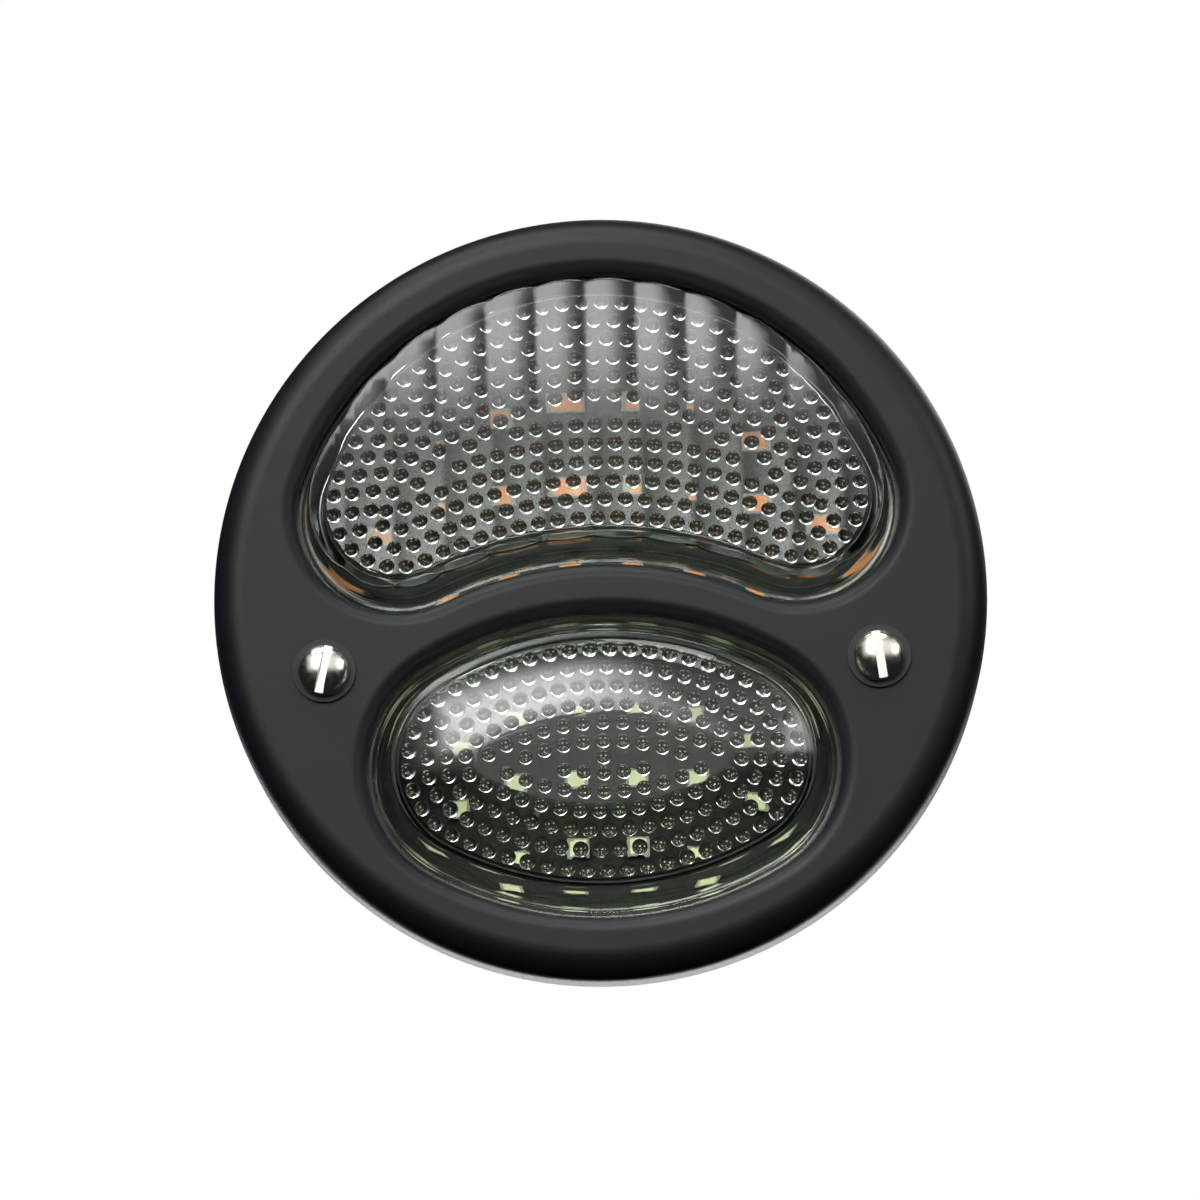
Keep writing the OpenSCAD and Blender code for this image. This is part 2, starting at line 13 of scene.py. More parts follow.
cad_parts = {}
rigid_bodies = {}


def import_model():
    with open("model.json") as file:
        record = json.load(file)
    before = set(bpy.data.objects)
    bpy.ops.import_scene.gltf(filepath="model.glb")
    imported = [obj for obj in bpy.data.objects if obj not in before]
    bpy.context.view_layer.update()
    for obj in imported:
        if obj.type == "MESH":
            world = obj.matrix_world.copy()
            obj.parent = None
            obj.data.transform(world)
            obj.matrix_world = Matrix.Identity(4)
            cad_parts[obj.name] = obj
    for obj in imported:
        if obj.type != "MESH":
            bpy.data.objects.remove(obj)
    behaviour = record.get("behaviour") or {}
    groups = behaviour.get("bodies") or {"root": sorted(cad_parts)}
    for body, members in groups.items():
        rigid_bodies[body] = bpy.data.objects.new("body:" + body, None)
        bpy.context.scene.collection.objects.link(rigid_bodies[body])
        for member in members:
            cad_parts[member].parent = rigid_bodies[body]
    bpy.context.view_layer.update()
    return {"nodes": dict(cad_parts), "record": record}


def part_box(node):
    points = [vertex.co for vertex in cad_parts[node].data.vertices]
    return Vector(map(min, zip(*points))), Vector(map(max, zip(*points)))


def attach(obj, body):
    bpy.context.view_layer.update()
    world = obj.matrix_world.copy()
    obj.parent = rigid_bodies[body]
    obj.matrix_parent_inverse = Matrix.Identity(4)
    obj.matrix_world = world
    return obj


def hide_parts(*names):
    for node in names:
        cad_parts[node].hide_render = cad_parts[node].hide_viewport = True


MM = 0.001

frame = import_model()


# ---------------------------------------------------------------- sizes, in millimetres


def box_mm(node):
    """Lowest and highest corner of a CAD node, in millimetres."""
    low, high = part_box(node)
    return low / MM, high / MM


BEZEL_LOW, BEZEL_HIGH = box_mm("bezel")
UPPER_LOW, UPPER_HIGH = box_mm("upper_lens")
LOWER_LOW, LOWER_HIGH = box_mm("lower_lens")
SCREW_LOW, SCREW_HIGH = box_mm("right_bezel_screw")

FACE_H = -BEZEL_LOW.y
SKIRT_REAR_H = -BEZEL_HIGH.y
BEZEL_R = BEZEL_HIGH.x
BEZEL_CORNER_R = 4.5
SHEET = 1.2
LIP_R = 2.2
LIP_END_H = FACE_H - 3
FLANGE_REACH = 3.3
FLANGE_BACK_H = -UPPER_HIGH.y
FLANGE_TOP_H = FLANGE_BACK_H + 1.8
LENS_GAP = 1.4
LENS_WALL = 2.2
LENS_FRONT = 3.6
LENS_EDGE_R = 0.6
UPPER_DRAFT = 0.8
LOWER_DRAFT = 2.2

# Flat margins in the bezel's face round its openings and its screw holes, and how far the holes are rolled in
FACE_MARGIN = 0.35
HOLE_MARGIN = 0.2
HOLE_ROLL = 0.25

# Small rounds of the lenses: the flange's rim and the root of the wall
FLANGE_RIM = 0.3
ROOT_R = 0.9

# Kidney outline of the upper opening: crown arc, two lobes and a hollow notch arc, all tangent
CROWN_R = 48.3
CROWN_Z = 1.5
LOBE_R = 15.6
LOBE_X = 30.4
NOTCH_Z = 4.7
LOBE_Z = CROWN_Z + math.sqrt((CROWN_R - LOBE_R) ** 2 - LOBE_X**2)
CROWN_HALF = math.degrees(math.atan2(LOBE_X, LOBE_Z - CROWN_Z))
NOTCH_CZ = ((LOBE_R + NOTCH_Z) ** 2 - LOBE_X**2 - LOBE_Z**2) / (2 * (LOBE_R + NOTCH_Z - LOBE_Z))
NOTCH_R = NOTCH_Z - NOTCH_CZ
NOTCH_FROM = math.degrees(math.atan2(LOBE_Z - NOTCH_CZ, LOBE_X))

# Oval outline of the lower opening: two end arcs and two flat side arcs
OVAL_W = 72
OVAL_H = 46.6
OVAL_Z = -26.2
OVAL_END_R = 18.7
OVAL_END_X = OVAL_W / 2 - OVAL_END_R
OVAL_SIDE_R = (OVAL_END_X**2 + (OVAL_H / 2) ** 2 - OVAL_END_R**2) / (OVAL_H - 2 * OVAL_END_R)
OVAL_SIDE_HALF = math.degrees(math.atan2(OVAL_END_X, OVAL_SIDE_R - OVAL_H / 2))
OVAL_SIDE_DZ = OVAL_H / 2 - OVAL_SIDE_R

# Each arc: centre x, centre z, radius, start and end angle, and +1 if the outline grows with its radius
KIDNEY = [
    (LOBE_X, LOBE_Z, LOBE_R, NOTCH_FROM - 180, 90 - CROWN_HALF, 1),
    (0, CROWN_Z, CROWN_R, 90 - CROWN_HALF, 90 + CROWN_HALF, 1),
    (-LOBE_X, LOBE_Z, LOBE_R, 90 + CROWN_HALF, 360 - NOTCH_FROM, 1),
    (0, NOTCH_CZ, NOTCH_R, 180 - NOTCH_FROM, NOTCH_FROM, -1),
]
OVAL = [
    (OVAL_END_X, OVAL_Z, OVAL_END_R, OVAL_SIDE_HALF - 90, 90 - OVAL_SIDE_HALF, 1),
    (0, OVAL_Z + OVAL_SIDE_DZ, OVAL_SIDE_R, 90 - OVAL_SIDE_HALF, 90 + OVAL_SIDE_HALF, 1),
    (-OVAL_END_X, OVAL_Z, OVAL_END_R, 90 + OVAL_SIDE_HALF, 270 - OVAL_SIDE_HALF, 1),
    (0, OVAL_Z - OVAL_SIDE_DZ, OVAL_SIDE_R, 270 - OVAL_SIDE_HALF, 270 + OVAL_SIDE_HALF, 1),
]

# Upper lens: flutes across the front
FLUTE_PITCH = 7.55
FLUTE_SHIFT = -0.8
FLUTE_DEPTH = 0.19
FLUTE_STRIPS = 10
EDGE_SCALLOP = 0.35
SCALLOP_REACH = 3.5

# Fall of the upper lens's front: at its ends, and from the middle height up to the crown
UPPER_HALF_W = 46
UPPER_MID_Z = 27
UPPER_HALF_H = 22
END_FALL = 0.2
CROWN_FALL = 1.3

# Lower lens: dome over the middle, from its edge inwards, and the glass behind it
DOME = 3.2
DOME_REACH = 12.5
DOME_GLASS = 2.4
DOME_STEPS = 12

# Beads on the inner faces: caps of a ball
BEAD_R = 1.18
BEAD_HALF = math.radians(55)
BALL_R = BEAD_R / math.sin(BEAD_HALF)
BALL_SINK = BALL_R * math.cos(BEAD_HALF)
BEAD_PITCH = 3.0
BEAD_ROW = 2.85

# Bezel screws
SCREW_X = (SCREW_LOW.x + SCREW_HIGH.x) / 2
SCREW_Z = (SCREW_LOW.z + SCREW_HIGH.z) / 2
SCREW_HOLE_R = 2.4
SCREW_SHANK_R = 2.08
SCREW_HEAD_H = 2.7
SCREW_RIM_H = 0.5
SCREW_BEVEL = 0.12
THREAD_PITCH = 0.79
THREAD_DEPTH = 0.3
SLOT_W = 1.3
SLOT_DEPTH = 1.4


def place(x, z, height):
    """A point in the row frame from millimetres across, up and in front of the bowl's back."""
    return Vector((x * MM, -height * MM, z * MM))


# ---------------------------------------------------------------- modelling helpers


def start_edit():
    """Opens a new, empty mesh object in edit mode, with nothing else selected."""
    bpy.ops.object.select_all(action="DESELECT")
    bpy.ops.mesh.primitive_plane_add(size=MM)
    bpy.ops.object.mode_set(mode="EDIT")
    bpy.ops.mesh.select_mode(type="VERT")
    bpy.ops.mesh.delete(type="VERT")
    return bpy.context.object


def finish_edit(obj, name, angle=35):
    """Leaves edit mode, puts the object's place in its mesh, names it and smooths its shading."""
    bpy.ops.object.mode_set(mode="OBJECT")
    only(obj)
    bpy.ops.object.transform_apply(location=True, rotation=True, scale=True)
    bpy.ops.object.shade_smooth_by_angle(angle=math.radians(angle))
    obj.name = name
    obj.data.name = name
    return obj


def only(obj):
    """Selects this object alone and makes it active."""
    bpy.ops.object.select_all(action="DESELECT")
    obj.select_set(True)
    bpy.context.view_layer.objects.active = obj


def modify(obj, kind, **settings):
    """Adds one modifier and applies it."""
    only(obj)
    modifier = obj.modifiers.new(kind.title(), kind)
    for key, value in settings.items():
        setattr(modifier, key, value)
    bpy.ops.object.modifier_apply(modifier=modifier.name)


def select_faces(obj, wanted):
    """In edit mode: selects the faces that the test accepts, and no others."""
    mesh = bmesh.from_edit_mesh(obj.data)
    bpy.ops.mesh.select_mode(type="FACE")
    for face in mesh.faces:
        face.select_set(wanted(face))
    mesh.select_flush_mode()
    bmesh.update_edit_mesh(obj.data)


def arc_radius(arc, grow):
    return arc[2] + arc[5] * grow


def outline_face(arcs, grow, height, step=0.75):
    """In edit mode: one flat face inside a chain of tangent arcs, grown outwards, its normal to the front."""
    first = arcs[0]
    radius, start = arc_radius(first, grow), math.radians(first[3])
    corner = place(first[0] + radius * math.cos(start), first[1] + radius * math.sin(start), height)
    bpy.ops.mesh.select_all(action="DESELECT")
    bpy.ops.mesh.select_mode(type="VERT")
    bpy.ops.mesh.primitive_plane_add(size=MM, location=corner)
    bpy.ops.mesh.merge(type="CENTER")
    for arc in arcs:
        turn = math.radians(arc[4] - arc[3])
        steps = max(2, math.ceil(abs(turn) * arc[2] / step))
        bpy.ops.mesh.spin(steps=steps, angle=turn, center=place(arc[0], arc[1], height), axis=(0, 1, 0))
    bpy.ops.mesh.select_linked()
    bpy.ops.mesh.remove_doubles(threshold=0.01 * MM)
    bpy.ops.mesh.edge_face_add()
    face_front()


def face_front():
    """In edit mode: turns the selected faces so that they point to the front."""
    mesh = bmesh.from_edit_mesh(bpy.context.object.data)
    if any(face.select and face.normal.y > 0 for face in mesh.faces):
        bpy.ops.mesh.flip_normals()


def disc_face(radius, height, x=0, z=0, vertices=192):
    """In edit mode: one round face, its normal to the front."""
    bpy.ops.mesh.select_all(action="DESELECT")
    bpy.ops.mesh.primitive_circle_add(
        vertices=vertices, radius=radius * MM, fill_type="NGON",
        location=place(x, z, height), rotation=(math.pi / 2, 0, 0),
    )


def step_in(inward, forward):
    """In edit mode: insets the selected face and raises it to the front."""
    bpy.ops.mesh.inset(thickness=inward * MM, depth=forward * MM, use_even_offset=True)


def lathe(profile, x, z, steps=48):
    """In edit mode: turns a chain of (radius, height) points round a line along -Y into a solid."""
    bpy.ops.mesh.select_all(action="DESELECT")
    bpy.ops.mesh.select_mode(type="VERT")
    radius, height = profile[0]
    bpy.ops.mesh.primitive_plane_add(size=MM, location=place(x + radius, z, height))
    bpy.ops.mesh.merge(type="CENTER")
    for (r0, h0), (r1, h1) in zip(profile, profile[1:]):
        bpy.ops.mesh.extrude_region_move(
            TRANSFORM_OT_translate={"value": ((r1 - r0) * MM, -(h1 - h0) * MM, 0)}
        )
    bpy.ops.mesh.select_linked()
    bpy.ops.mesh.spin(steps=steps, angle=math.tau, center=place(x, z, 0), axis=(0, 1, 0))
    bpy.ops.mesh.select_linked()
    bpy.ops.mesh.remove_doubles(threshold=0.002 * MM)
    bpy.ops.mesh.normals_make_consistent(inside=False)


def thread(radius, low, high, pitch, depth):
    """Profile points of a thread between two heights, its ends chamfered."""
    points = [(radius - depth, low), (radius, low + depth)]
    for i in range(int((high - low - depth) / pitch)):
        base = low + depth + i * pitch
        points += [(radius, base + 0.15 * pitch), (radius - depth, base + 0.5 * pitch),
                   (radius, base + 0.85 * pitch)]
    return points


def quarter(steps):
    """Inward and forward shares of each step of a quarter round that starts upright."""
    angles = [math.pi / 2 * i / steps for i in range(steps + 1)]
    return [
        (math.cos(a) - math.cos(b), math.sin(b) - math.sin(a))
        for a, b in zip(angles, angles[1:])
    ]


def dress(obj, material, body, slot, *replaced):
    """Gives a piece its material and its body and hides the CAD nodes that it stands for; the slot is not
    used.
    """
    obj.data.materials.clear()
    obj.data.materials.append(material)
    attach(obj, body)
    if replaced:
        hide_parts(*replaced)
    return obj


# ---------------------------------------------------------------- materials


class Finish:
    """A node material with a Principled shader and short calls for its procedural parts."""

    def __init__(self, name, **constants):
        self.material = bpy.data.materials.new(name)
        self.material.use_nodes = True
        self.tree = self.material.node_tree
        self.shader = self.tree.nodes["Principled BSDF"]
        for key, value in constants.items():
            self.shader.inputs[key.replace("_", " ").title().replace("Ior", "IOR")].default_value = value
        self.coordinates = self.add("ShaderNodeTexCoord").outputs["Object"]

    def add(self, kind, inputs=None, **settings):
        node = self.tree.nodes.new(kind)
        for key, value in settings.items():
            setattr(node, key, value)
        for key, value in (inputs or {}).items():
            socket = node.inputs[key]
            if isinstance(value, bpy.types.NodeSocket):
                self.tree.links.new(value, socket)
            else:
                socket.default_value = value
        return node

    def link(self, value, name):
        self.tree.links.new(value, self.shader.inputs[name])

    def noise(self, size_mm, detail=3):
        return self.add(
            "ShaderNodeTexNoise",
            {"Vector": self.coordinates, "Scale": 1 / (size_mm * MM), "Detail": detail, "Roughness": 0.5},
        ).outputs["Fac"]

    def cells(self, size_mm, output="Distance"):
        return self.add(
            "ShaderNodeTexVoronoi", {"Vector": self.coordinates, "Scale": 1 / (size_mm * MM)}
        ).outputs[output]

    def spread(self, value, low, high, from_low=0.3, from_high=0.7):
        return self.add(
            "ShaderNodeMapRange",
            {"Value": value, "From Min": from_low, "From Max": from_high, "To Min": low, "To Max": high},
        ).outputs["Result"]

    def mix(self, factor, first, second):
        """Blends two colours, each a tuple or a socket."""
        node = self.add("ShaderNodeMix", data_type="RGBA")
        for socket, value in ((node.inputs[0], factor), (node.inputs[6], first), (node.inputs[7], second)):
            if isinstance(value, bpy.types.NodeSocket):
                self.tree.links.new(value, socket)
            else:
                socket.default_value = value if isinstance(value, (int, float)) else (*value, 1)
        return node.outputs[2]

    def let_lamps_through(self, tint):
        """Lets lamp light pass the glass straight, tinted, so that what lies behind it is lit."""
        output = self.tree.nodes["Material Output"]
        clear = self.add("ShaderNodeBsdfTransparent", {"Color": (*tint, 1)})
        rays = self.add("ShaderNodeLightPath")
        blend = self.add("ShaderNodeMixShader", {0: rays.outputs["Is Shadow Ray"]})
        self.tree.links.new(self.shader.outputs["BSDF"], blend.inputs[1])
        self.tree.links.new(clear.outputs["BSDF"], blend.inputs[2])
        self.tree.links.new(blend.outputs["Shader"], output.inputs["Surface"])

    def bump(self, height, depth_mm):
        node = self.add("ShaderNodeBump", {"Height": height, "Distance": depth_mm * MM, "Strength": 1.0})
        if self.shader.inputs["Normal"].is_linked:
            earlier = self.shader.inputs["Normal"].links[0].from_socket
            self.tree.links.new(earlier, node.inputs["Normal"])
        self.link(node.outputs["Normal"], "Normal")


def black_paint():
    """Satin black stove enamel with a fine orange peel."""
    finish = Finish("black_paint", specular_ior_level=0.28)
    cloud = finish.spread(finish.noise(9), 0, 1)
    finish.link(finish.mix(cloud, (0.0055, 0.0055, 0.0085), (0.0075, 0.0075, 0.011)), "Base Color")
    finish.link(finish.spread(finish.noise(0.5), 0.40, 0.50), "Roughness")
    finish.bump(finish.noise(0.35, detail=2), 0.006)
    finish.bump(finish.noise(2.5, detail=1), 0.01)
    return finish.material


def clear_glass():
    """Pressed glass with the faint ripple that a mould leaves."""
    finish = Finish("clear_glass", base_color=(0.91, 0.965, 0.90, 1), roughness=0.015, ior=1.5,
                    transmission_weight=1.0)
    finish.bump(finish.noise(1.6, detail=2), 0.006)
    finish.bump(finish.noise(0.45, detail=1), 0.0015)
    finish.let_lamps_through((0.95, 0.98, 0.95))
    return finish.material


def metal(name, light, dark, rough, grain_mm=0.6, scratch=0.002):
    """Plated or bare metal: clouded tone, uneven gloss and fine turning marks."""
    finish = Finish(name, metallic=1.0)
    cloud = finish.spread(finish.noise(grain_mm * 6, detail=5), 0, 1)
    finish.link(finish.mix(cloud, dark, light), "Base Color")
    finish.link(finish.spread(finish.noise(grain_mm), rough * 0.7, rough * 1.3), "Roughness")
    finish.bump(finish.noise(grain_mm / 2, detail=3), scratch)
    return finish.material


def spangled_zinc():
    """Galvanised sheet with its crystal spangle."""
    finish = Finish("zinc_sheet", metallic=1.0)
    spangle = finish.cells(5, "Color")
    tone = finish.add("ShaderNodeSeparateColor", {"Color": spangle}).outputs["Red"]
    finish.link(finish.mix(tone, (0.42, 0.44, 0.46), (0.62, 0.64, 0.66)), "Base Color")
    finish.link(finish.spread(tone, 0.28, 0.45, 0, 1), "Roughness")
    finish.bump(finish.noise(0.5), 0.004)
    return finish.material


def soft_plastic(name, light, dark, rough, grain_mm=0.4, relief=0.008, **constants):
    """Rubber, moulded plastic or ceramic with a fine grain."""
    finish = Finish(name, **constants)
    finish.link(finish.mix(finish.spread(finish.noise(grain_mm * 8), 0, 1), dark, light), "Base Color")
    finish.link(finish.spread(finish.noise(grain_mm * 2), rough - 0.06, rough + 0.06), "Roughness")
    finish.bump(finish.noise(grain_mm), relief)
    return finish.material


def board_mask():
    """Dull black solder mask over copper, with faint tracks and small plated holes."""
    finish = Finish("board_mask", specular_ior_level=0.15)
    turned = finish.add(
        "ShaderNodeMapping", {"Vector": finish.coordinates, "Rotation": (math.pi / 2, 0, 0)}
    ).outputs["Vector"]
    tracks = finish.add(
        "ShaderNodeTexBrick",
        {"Vector": turned, "Scale": 1 / (9.9 * MM), "Mortar Size": 0.04, "Mortar Smooth": 0.2,
         "Brick Width": 1.0, "Row Height": 0.62},
    ).outputs["Fac"]
    holes = finish.spread(finish.cells(6.5), 1, 0, 0.06, 0.09)
    base = finish.mix(finish.spread(finish.noise(4), 0, 1), (0.008, 0.0095, 0.006), (0.012, 0.0135, 0.009))
    tracked = finish.mix(tracks, base, (0.006, 0.007, 0.0045))
    finish.link(finish.mix(holes, tracked, (0.09, 0.085, 0.07)), "Base Color")
    finish.link(finish.spread(finish.noise(1.2), 0.5, 0.62), "Roughness")
    finish.bump(tracks, 0.03)
    return finish.material


def phosphor(name, light, dark):
    """Silicone full of phosphor powder, slightly uneven."""
    finish = Finish(name, subsurface_weight=0.2, subsurface_scale=0.0006)
    finish.link(finish.mix(finish.spread(finish.noise(0.5), 0, 1), dark, light), "Base Color")
    finish.link(finish.spread(finish.noise(0.3), 0.35, 0.5), "Roughness")
    finish.bump(finish.noise(0.2), 0.01)
    return finish.material


MATERIALS = {
    "black_paint": black_paint(),
    "clear_glass": clear_glass(),
    "black_rubber": soft_plastic("black_rubber", (0.022, 0.022, 0.022), (0.012, 0.012, 0.012), 0.7),
    "zinc_sheet": spangled_zinc(),
    "zinc_fastener": metal("zinc_fastener", (0.66, 0.67, 0.68), (0.48, 0.49, 0.5), 0.3),
    "nickel_plate": metal("nickel_plate", (0.86, 0.82, 0.76), (0.76, 0.71, 0.64), 0.2, 0.8, 0.0015),
    "aluminium_rivet": metal("aluminium_rivet", (0.75, 0.76, 0.77), (0.6, 0.61, 0.62), 0.4),
    "board_mask": board_mask(),
    "led_body": soft_plastic("led_body", (0.28, 0.26, 0.21), (0.22, 0.20, 0.16), 0.45, 0.2, 0.004),
    "amber_phosphor": phosphor("amber_phosphor", (0.78, 0.21, 0.001), (0.70, 0.18, 0.001)),
    "white_phosphor": phosphor("white_phosphor", (0.66, 0.68, 0.40), (0.58, 0.61, 0.34)),
    "black_component": soft_plastic("black_component", (0.03, 0.03, 0.032), (0.018, 0.018, 0.02), 0.5),
    "capacitor_can": metal("capacitor_can", (0.72, 0.72, 0.74), (0.55, 0.56, 0.6), 0.3),
    "connector_plastic": soft_plastic("connector_plastic", (0.75, 0.73, 0.66), (0.66, 0.63, 0.55), 0.45),
    "brass_spacer": metal("brass_spacer", (0.75, 0.58, 0.28), (0.62, 0.45, 0.2), 0.28),
}


# ---------------------------------------------------------------- bezel


def make_bezel():
    """Pressed steel cover: face, skirt and rolled lips round both openings, thickened inwards."""
    obj = start_edit()
    disc_face(BEZEL_R, SKIRT_REAR_H)
    step_in(0, FACE_H - BEZEL_CORNER_R - SKIRT_REAR_H)
    for inward, forward in quarter(10):
        step_in(inward * BEZEL_CORNER_R, forward * BEZEL_CORNER_R)
    open_ring()
    for arcs in (KIDNEY, OVAL):
        outline_face(arcs, LIP_R + FACE_MARGIN, FACE_H)
        step_in(FACE_MARGIN, 0)
        for inward, forward in reversed(quarter(8)):
            step_in(inward * LIP_R, -forward * LIP_R)
        step_in(0, LIP_END_H - FACE_H + LIP_R)
        bpy.ops.mesh.delete(type="ONLY_FACE")
    for side in (-1, 1):
        disc_face(SCREW_HOLE_R + HOLE_MARGIN, FACE_H, side * SCREW_X, SCREW_Z, 48)
        step_in(HOLE_MARGIN, 0)
        step_in(0, -HOLE_ROLL)
        bpy.ops.mesh.delete(type="ONLY_FACE")
    fill_front(obj, FACE_H)
    finish_edit(obj, "bezel_cover", 50)
    modify(obj, "SOLIDIFY", thickness=SHEET * MM, offset=-1, use_even_offset=True, use_rim=True)
    return dress(obj, MATERIALS["black_paint"], "door", "black_paint", "bezel")


def open_ring():
    """In edit mode: adds a narrow flat margin inside the selected face and takes the face away."""
    step_in(FACE_MARGIN, 0)
    bpy.ops.mesh.delete(type="ONLY_FACE")


def fill_front(obj, height):
    """In edit mode: fills the flat area between all open edges at one height."""
    mesh = bmesh.from_edit_mesh(obj.data)
    bpy.ops.mesh.select_mode(type="EDGE")
    bpy.ops.mesh.select_all(action="DESELECT")
    for edge in mesh.edges:
        flat = all(abs(v.co.y + height * MM) < 0.005 * MM for v in edge.verts)
        if flat and len(edge.link_faces) == 1:
            edge.select_set(True)
    bmesh.update_edit_mesh(obj.data)
    bpy.ops.mesh.fill(use_beauty=True)
    face_front()


# ---------------------------------------------------------------- lenses


def bead_cluster(arcs, first_inset, height_at, name):
    """Rings of small balls that follow the outline, one mesh, to shape the beads of the inner face."""
    bpy.ops.object.select_all(action="DESELECT")
    bpy.ops.mesh.primitive_uv_sphere_add(
        segments=14, ring_count=20, radius=BALL_R * MM, rotation=(math.pi / 2, 0, 0)
    )
    bead = bpy.context.object
    bpy.ops.object.transform_apply(location=True, rotation=True, scale=True)
    copies = [bead]
    for x, z, inset in bead_places(arcs, first_inset):
        copy = bead.copy()
        copy.data = bead.data.copy()
        copy.location = place(x, z, height_at(inset) + BALL_SINK)
        bpy.context.scene.collection.objects.link(copy)
        copies.append(copy)
    copies.remove(bead)
    bpy.data.objects.remove(bead)
    bpy.ops.object.select_all(action="DESELECT")
    for copy in copies:
        copy.select_set(True)
    bpy.context.view_layer.objects.active = copies[0]
    bpy.ops.object.join()
    cluster = bpy.context.object
    bpy.ops.object.transform_apply(location=True, rotation=True, scale=True)
    cluster.name = name
    return cluster


def bead_places(arcs, first_inset):
    """Centres of the beads: rings inset one row at a time, each ring filled at the bead pitch."""
    places = []
    inset = first_inset
    while True:
        ring = ring_points(arcs, inset)
        if not ring:
            return places
        places += [(x, z, inset) for x, z in ring]
        inset += BEAD_ROW


def ring_points(arcs, inset):
    """Evenly spaced points on the outline inset by this much."""
    if any(arc_radius(arc, -inset) < BEAD_PITCH / 2 for arc in arcs):
        return meeting_rows(arcs[1], arcs[3], inset)
    lengths = [math.radians(abs(arc[4] - arc[3])) * arc_radius(arc, -inset) for arc in arcs]
    total = sum(lengths)
    count = round(total / BEAD_PITCH)
    points = []
    for i in range(count):
        along = total * i / count
        for arc, length in zip(arcs, lengths):
            if along <= length:
                angle = math.radians(arc[3] + (arc[4] - arc[3]) * along / length)
                radius = arc_radius(arc, -inset)
                points.append((arc[0] + radius * math.cos(angle), arc[1] + radius * math.sin(angle)))
                break
            along -= length
    return points


def arc_z(arc, inset, x):
    """Height of an inset arc at this x."""
    radius = arc_radius(arc, -inset)
    side = math.copysign(1, math.sin(math.radians((arc[3] + arc[4]) / 2)))
    return arc[1] + side * math.sqrt(max(radius**2 - x**2, 0))


def meeting_rows(top, bottom, inset):
    """Rows on the upper and lower arcs, once the end arcs have run out and the two meet in points."""
    least_gap = -0.3 * BEAD_ROW

    def gap(x):
        return arc_z(top, inset, x) - arc_z(bottom, inset, x)

    def row(arc):
        radius = arc_radius(arc, -inset)
        xs = [radius * math.sin(i * BEAD_PITCH / radius) for i in range(-16, 17)]
        return [(x, arc_z(arc, inset, x)) for x in xs if gap(x) > least_gap]

    if gap(0) < least_gap:
        return []
    upper = row(top)
    if gap(0) < 0.7 * BEAD_ROW:
        return [(x, z - gap(x) / 2) for x, z in upper]
    clear = 0.85 * BEAD_PITCH
    return upper + [p for p in row(bottom) if all(math.dist(p, q) > clear for q in upper)]


def cavity(arcs, insets, name):
    """Solid that fills the inside of a lens, to be cut from it."""
    obj = start_edit()
    grow, height = insets[0]
    outline_face(arcs, grow, height, step=1.1)
    for (grow, height), (next_grow, next_height) in zip(insets, insets[1:]):
        step_in(grow - next_grow, next_height - height)
    close_back(obj)
    return finish_edit(obj, name)


def close_back(obj):
    """In edit mode: closes the open loop at the back of a raised solid."""
    bpy.ops.mesh.select_mode(type="EDGE")
    bpy.ops.mesh.select_all(action="DESELECT")
    bpy.ops.mesh.select_non_manifold(extend=False)
    bpy.ops.mesh.edge_face_add()
    bpy.ops.mesh.select_all(action="SELECT")
    bpy.ops.mesh.normals_make_consistent(inside=False)


def flange_and_wall(arcs, wall_h, draft):
    """In edit mode: flange, small fillet and leaning wall of a lens, up to the wall's top edge."""
    outline_face(arcs, FLANGE_REACH, FLANGE_BACK_H)
    step_in(0, FLANGE_TOP_H - FLANGE_BACK_H - FLANGE_RIM)
    step_in(FLANGE_RIM, FLANGE_RIM)
    step_in(FLANGE_REACH + LENS_GAP - FLANGE_RIM - ROOT_R, 0)
    for inward, forward in reversed(quarter(4)):
        step_in(inward * ROOT_R, forward * ROOT_R)
    rise = wall_h - ROOT_R - LENS_EDGE_R
    for _ in range(4):
        step_in(draft / 4, rise / 4)
    for inward, forward in quarter(5):
        step_in(inward * LENS_EDGE_R, forward * LENS_EDGE_R)


def cusp_share(x):
    """0 in the middle of a flute, 1 on the cusp between two."""
    across = (x - FLUTE_SHIFT) / FLUTE_PITCH
    return 2 * abs(across - math.floor(across) - 0.5)


def upper_drop(x, z):
    """How far the fluted front of the upper lens lies behind its highest point."""
    share = cusp_share(x)
    dome = END_FALL * (x / UPPER_HALF_W) ** 2 + CROWN_FALL * ((z - UPPER_MID_Z) / UPPER_HALF_H) ** 2
    return FLUTE_DEPTH * share**2 + dome


